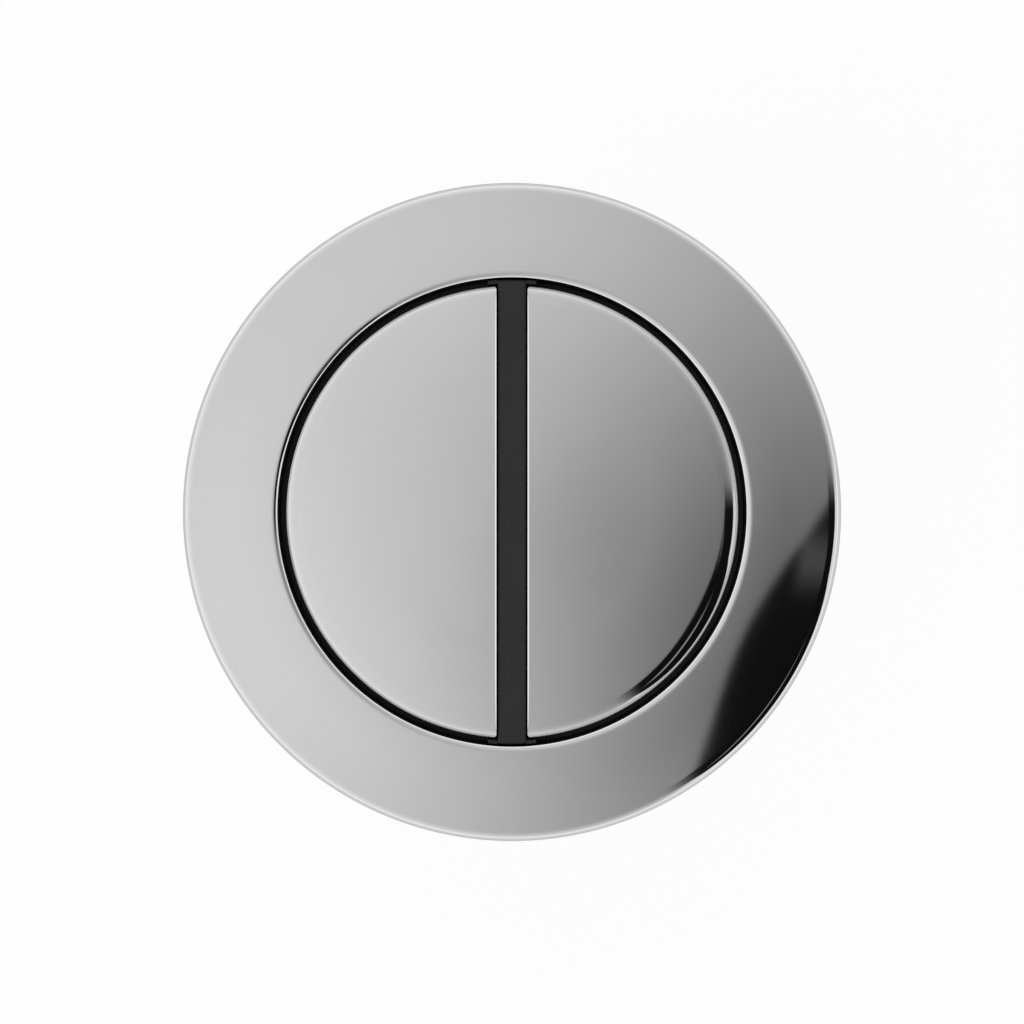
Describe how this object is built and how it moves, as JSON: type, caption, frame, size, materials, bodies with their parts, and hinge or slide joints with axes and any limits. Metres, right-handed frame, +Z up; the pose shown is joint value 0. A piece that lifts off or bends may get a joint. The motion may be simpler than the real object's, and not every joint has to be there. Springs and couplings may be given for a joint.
{
  "type": "dual flush push button",
  "caption": "Round push button for a cistern lid: chrome ring, half-round full and half flush caps split by a black bar, threaded barrel, clamp nut and push rods.",
  "frame": {"origin": "on the button's axis, level with the top of the lid that the flange gasket seats on", "axes": "+Z up out of the lid, along the press of the buttons; the divider bar runs along Y; full flush on -X, half flush on +X"},
  "size_m": [0.074, 0.074, 0.0768],
  "materials": {
    "chrome_plate": "polished chrome plate on moulded plastic",
    "black_plastic": "satin moulded black",
    "gasket_rubber": "matt",
    "grey_plastic": "moulded, slight grain",
    "white_acetal": "semi-gloss moulded",
    "bright_steel": "drawn wire, bright"
  },
  "bodies": {
    "fixed": {"bezel": "chrome_plate", "button_body": "black_plastic", "flange_gasket": "gasket_rubber", "full_flush_spring": "bright_steel", "half_flush_spring": "bright_steel"},
    "clamp_washer": {"clamp_washer": "grey_plastic"},
    "clamp_nut": {"clamp_nut": "grey_plastic"},
    "full_flush_button": {"full_flush_cap": "chrome_plate", "full_flush_plunger": "white_acetal", "full_flush_clip": "bright_steel", "full_flush_rod": "white_acetal", "full_flush_lock_nut": "white_acetal"},
    "half_flush_button": {"half_flush_cap": "chrome_plate", "half_flush_plunger": "white_acetal", "half_flush_clip": "bright_steel", "half_flush_rod": "white_acetal", "half_flush_lock_nut": "white_acetal"}
  },
  "joints": [
    {"name": "full_flush_press", "type": "slide", "parent": "fixed", "child": "full_flush_button", "axis": [0, 0, -1], "range_m": [0, 0.006], "stiffness_N_per_m": 1040, "springref_m": -0.003, "deforming": ["full_flush_spring"]},
    {"name": "half_flush_press", "type": "slide", "parent": "fixed", "child": "half_flush_button", "axis": [0, 0, -1], "range_m": [0, 0.006], "stiffness_N_per_m": 1040, "springref_m": -0.003, "deforming": ["half_flush_spring"]},
    {"name": "clamp_washer_slide", "type": "slide", "parent": "fixed", "child": "clamp_washer", "axis": [0, 0, 1], "range_m": [-0.00801, 0.00601]},
    {"name": "clamp_nut_turn", "type": "hinge", "parent": "clamp_washer", "child": "clamp_nut", "pos_m": [0, 0, -0.0155], "axis": [0, 0, 1], "range_deg": [-960, 720]}
  ],
  "couplings": [
    {"joint": "clamp_washer_slide", "follows": "clamp_nut_turn", "m_per_rad": 0.00047746}
  ]
}
